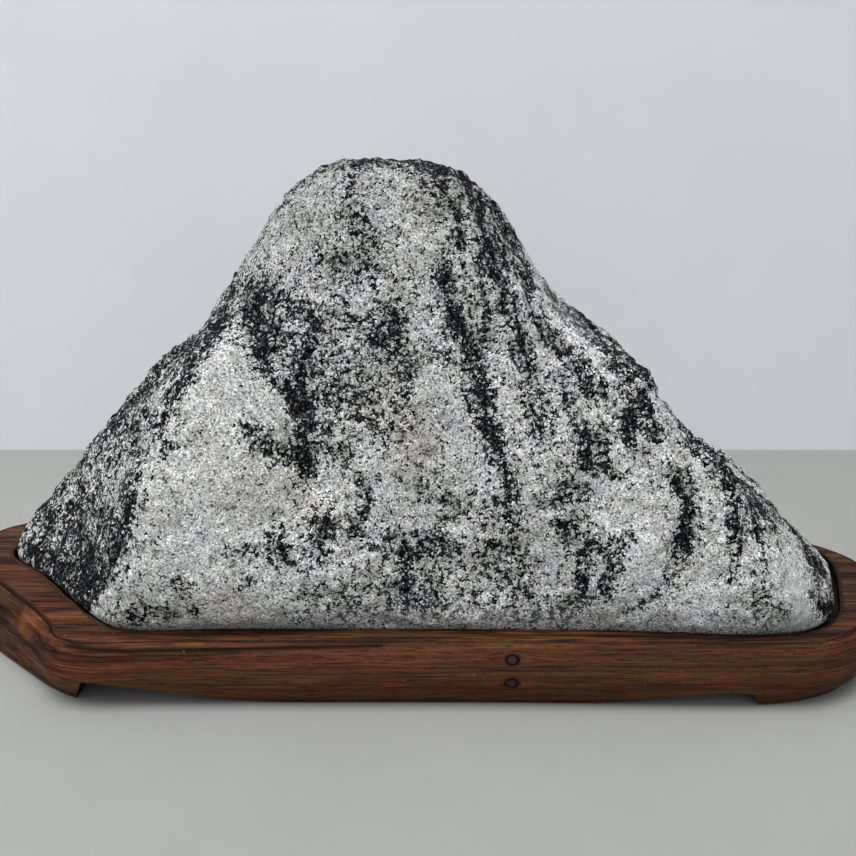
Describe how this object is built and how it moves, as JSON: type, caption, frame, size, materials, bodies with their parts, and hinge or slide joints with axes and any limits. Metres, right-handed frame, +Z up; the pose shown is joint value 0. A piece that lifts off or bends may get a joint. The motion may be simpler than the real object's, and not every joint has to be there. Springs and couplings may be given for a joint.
{
  "type": "scholars rock",
  "caption": "Mountain-shaped viewing stone of grey banded gneiss, seated in a low carved hardwood stand with feet, for display on a desk or shelf.",
  "frame": {"origin": "centre of the whole object's footprint, on the surface it stands on", "axes": "+X to the right along the stand, +Y to the back, +Z up; the stone's shown face looks along -Y"},
  "size_m": [0.4852, 0.1734, 0.239],
  "materials": {
    "stone": "coarse-grained banded gneiss, worn and unpolished",
    "wood": "dark stained hardwood, hand carved, oiled"
  },
  "bodies": {
    "root": {"stone": "stone", "stand": "wood"}
  },
  "joints": []
}
